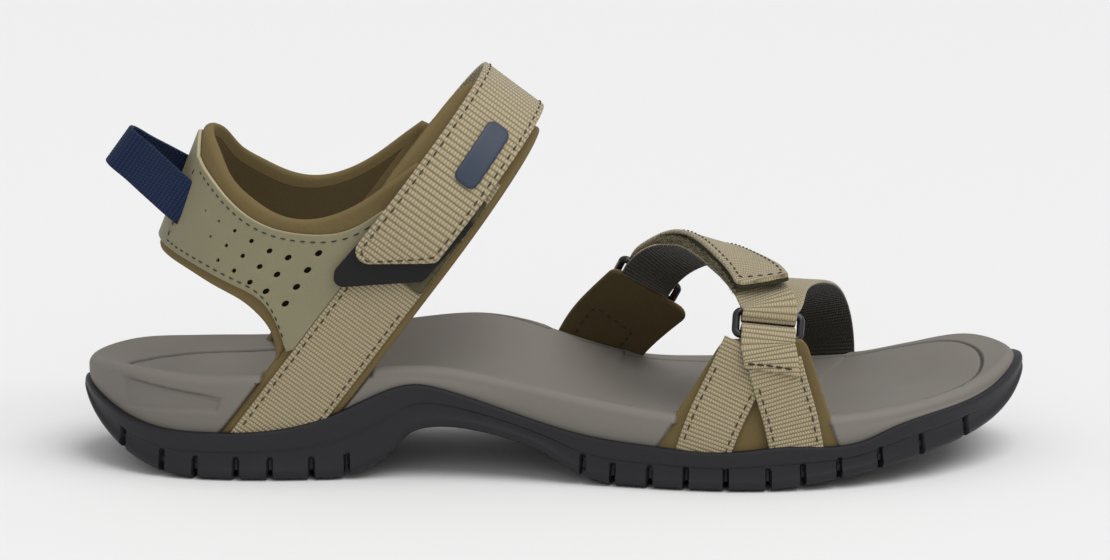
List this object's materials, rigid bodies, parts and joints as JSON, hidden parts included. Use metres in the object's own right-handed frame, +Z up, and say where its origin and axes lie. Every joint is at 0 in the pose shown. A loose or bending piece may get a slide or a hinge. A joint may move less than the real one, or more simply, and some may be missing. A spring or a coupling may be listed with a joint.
{
  "type": "sport sandal",
  "caption": "Open-toe strappy sport sandal: webbing straps with hook-and-loop closures, padded heel collar, foam footbed and lugged rubber outsole.",
  "frame": {"origin": "on the ground, in the middle of the sandal's length and width", "axes": "+X to the toes, +Y to the big-toe (medial) side of this right-foot sandal, +Z up"},
  "size_m": [0.2581, 0.0954, 0.1073],
  "materials": {
    "rubber_tread": "satin",
    "foam": "matte",
    "cushion_foam": "matte",
    "nylon": "matte",
    "suede_lining": "matte",
    "khaki_webbing": "matte",
    "pile_tape": "matte",
    "hook_tape": "matte",
    "badge_rubber": "satin",
    "sage_leather": "satin",
    "navy_webbing": "matte",
    "ring_black": "gloss"
  },
  "bodies": {
    "sandal": {"outsole": "rubber_tread", "midsole": "foam", "footbed": "foam", "shank": "nylon", "heel_cushion": "cushion_foam", "lateral_ankle_pad": "suede_lining", "medial_ankle_pad": "suede_lining", "lateral_ankle_webbing": "khaki_webbing", "medial_ankle_webbing": "khaki_webbing", "ankle_loop_tape": "pile_tape", "collar_lining": "suede_lining", "lateral_quarter": "sage_leather", "medial_quarter": "sage_leather", "heel_back_panel": "sage_leather", "lateral_forefoot_backing": "suede_lining", "lateral_rear_webbing": "khaki_webbing", "lateral_front_webbing": "khaki_webbing", "medial_forefoot_backing": "suede_lining", "medial_front_webbing": "khaki_webbing", "toe_strap": "khaki_webbing", "instep_strap": "khaki_webbing", "forefoot_loop_tape": "pile_tape"},
    "ankle_flap": {"ankle_closure_strap": "khaki_webbing", "ankle_hook_tape": "hook_tape", "strap_badge": "badge_rubber"},
    "forefoot_flap": {"forefoot_closure_flap": "khaki_webbing", "forefoot_hook_tape": "hook_tape"},
    "lateral_ring": {"lateral_ring": "ring_black"},
    "medial_ring": {"medial_ring": "ring_black"},
    "pull_loop": {"heel_pull_loop": "navy_webbing"}
  },
  "joints": [
    {"name": "ankle_flap_peel", "type": "hinge", "parent": "sandal", "child": "ankle_flap", "pos_m": [-0.0384, 0.0374, 0.0629], "axis": [-0.8, 0, 0.6], "range_deg": [0, 110]},
    {"name": "forefoot_flap_peel", "type": "hinge", "parent": "sandal", "child": "forefoot_flap", "pos_m": [0.02682, 0.02509, 0.04466], "axis": [-0.8818, 0.1002, 0.4609], "range_deg": [0, 100]},
    {"name": "lateral_ring_swivel", "type": "hinge", "parent": "sandal", "child": "lateral_ring", "pos_m": [0.05676, -0.039, 0.04068], "axis": [0.9926, 0.0501, -0.1103], "range_deg": [-2, 1]},
    {"name": "medial_ring_swivel", "type": "hinge", "parent": "sandal", "child": "medial_ring", "pos_m": [0.02478, 0.02891, 0.03994], "axis": [0.8818, -0.1002, -0.4609], "range_deg": [-2, 3.5]},
    {"name": "pull_loop_swing", "type": "hinge", "parent": "sandal", "child": "pull_loop", "pos_m": [-0.1011, 0, 0.0732], "axis": [0, 1, 0], "range_deg": [-25, 15]}
  ]
}
